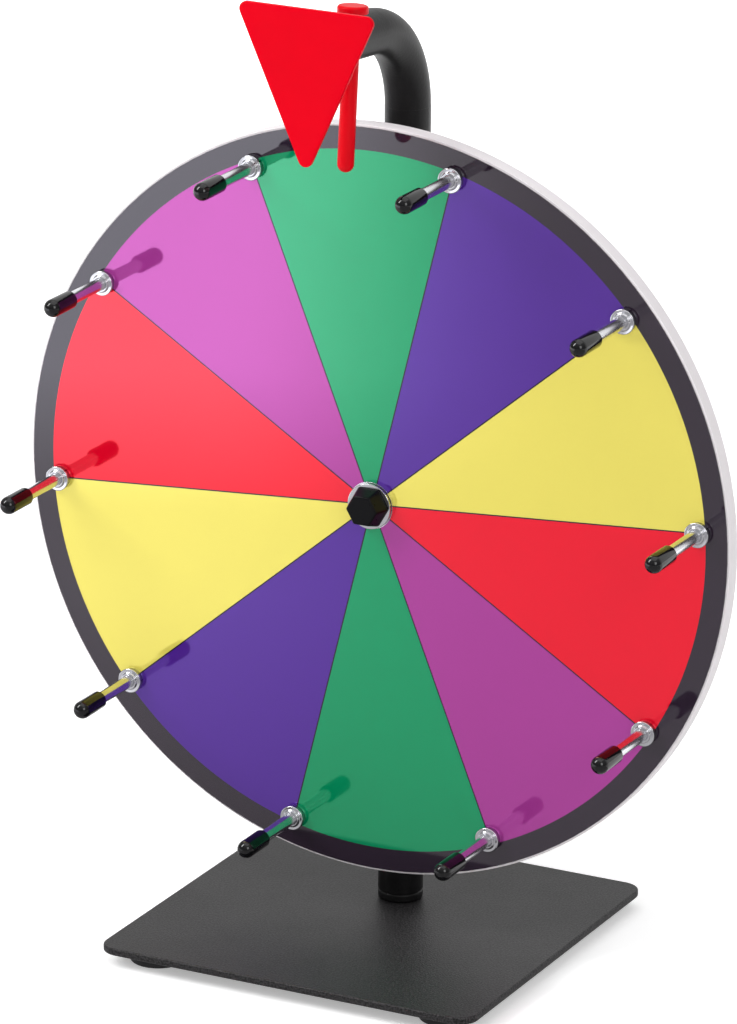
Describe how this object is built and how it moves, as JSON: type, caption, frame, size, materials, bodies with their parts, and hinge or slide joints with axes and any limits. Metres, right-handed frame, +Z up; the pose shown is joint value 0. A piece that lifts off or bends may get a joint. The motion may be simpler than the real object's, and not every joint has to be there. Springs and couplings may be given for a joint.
{
  "type": "tabletop prize wheel",
  "caption": "Tabletop prize wheel: a pegged, coloured disc spins on a ball-bearing hub before a bent tube post, and a flexible clicker behind a triangular pointer brushes the pegs.",
  "frame": {"origin": "on the table, under the middle of the base plate", "axes": "+Z up, -Y towards the player who faces the printed disc, +X to that player's right"},
  "size_m": [0.304, 0.16, 0.3922],
  "materials": {
    "powder_coat": "satin",
    "foot_rubber": "matte",
    "steel": "satin",
    "chrome": "polished",
    "red_plastic": "gloss",
    "red_rubber": "satin",
    "black_plastic": "gloss",
    "cap_vinyl": "gloss",
    "foam_board": "matte",
    "print": "gloss"
  },
  "bodies": {
    "stand": {"base_plate": "powder_coat", "base_screw": "steel", "post_plug": "powder_coat", "post_tube": "powder_coat", "pointer": "red_plastic", "foot_front_left": "foot_rubber", "foot_front_right": "foot_rubber", "foot_back_left": "foot_rubber", "foot_back_right": "foot_rubber", "clicker_stem": "red_rubber", "axle_bolt": "steel", "hub_cap": "black_plastic", "front_washer": "chrome", "hub_spacer": "black_plastic", "rear_saddle": "black_plastic", "rear_washer": "steel", "axle_nut": "steel", "front_inner_race": "steel", "rear_inner_race": "steel"},
    "wheel": {"wheel_board": "foam_board", "face_sheet": "print", "front_outer_race": "chrome", "rear_outer_race": "chrome", "peg_collars": "chrome", "peg_lock_washers": "steel", "peg_back_washers": "steel", "peg_nuts": "steel", "peg_pin_1": "chrome", "peg_pin_2": "chrome", "peg_pin_3": "chrome", "peg_pin_4": "chrome", "peg_pin_5": "chrome", "peg_pin_6": "chrome", "peg_pin_7": "chrome", "peg_pin_8": "chrome", "peg_pin_9": "chrome", "peg_pin_10": "chrome", "peg_cap_1": "cap_vinyl", "peg_cap_2": "cap_vinyl", "peg_cap_3": "cap_vinyl", "peg_cap_4": "cap_vinyl", "peg_cap_5": "cap_vinyl", "peg_cap_6": "cap_vinyl", "peg_cap_7": "cap_vinyl", "peg_cap_8": "cap_vinyl", "peg_cap_9": "cap_vinyl", "peg_cap_10": "cap_vinyl"},
    "ball_ring": {"front_balls": "chrome", "rear_balls": "chrome", "front_cage": "steel", "rear_cage": "steel"},
    "clicker": {"clicker_finger": "red_rubber"}
  },
  "joints": [
    {"name": "wheel_spin", "type": "hinge", "parent": "stand", "child": "wheel", "pos_m": [0, 0, 0.1815], "axis": [0, -1, 0], "continuous": true},
    {"name": "ball_ring_spin", "type": "hinge", "parent": "stand", "child": "ball_ring", "pos_m": [0, 0, 0.1815], "axis": [0, -1, 0], "continuous": true},
    {"name": "clicker_flex", "type": "hinge", "parent": "stand", "child": "clicker", "pos_m": [0, -0.02566, 0.35985], "axis": [0, -0.9962, 0.0872], "range_deg": [-40, 40], "stiffness_Nm_per_rad": 0.02}
  ],
  "couplings": [
    {"joint": "ball_ring_spin", "follows": "wheel_spin", "ratio": 0.61364}
  ]
}
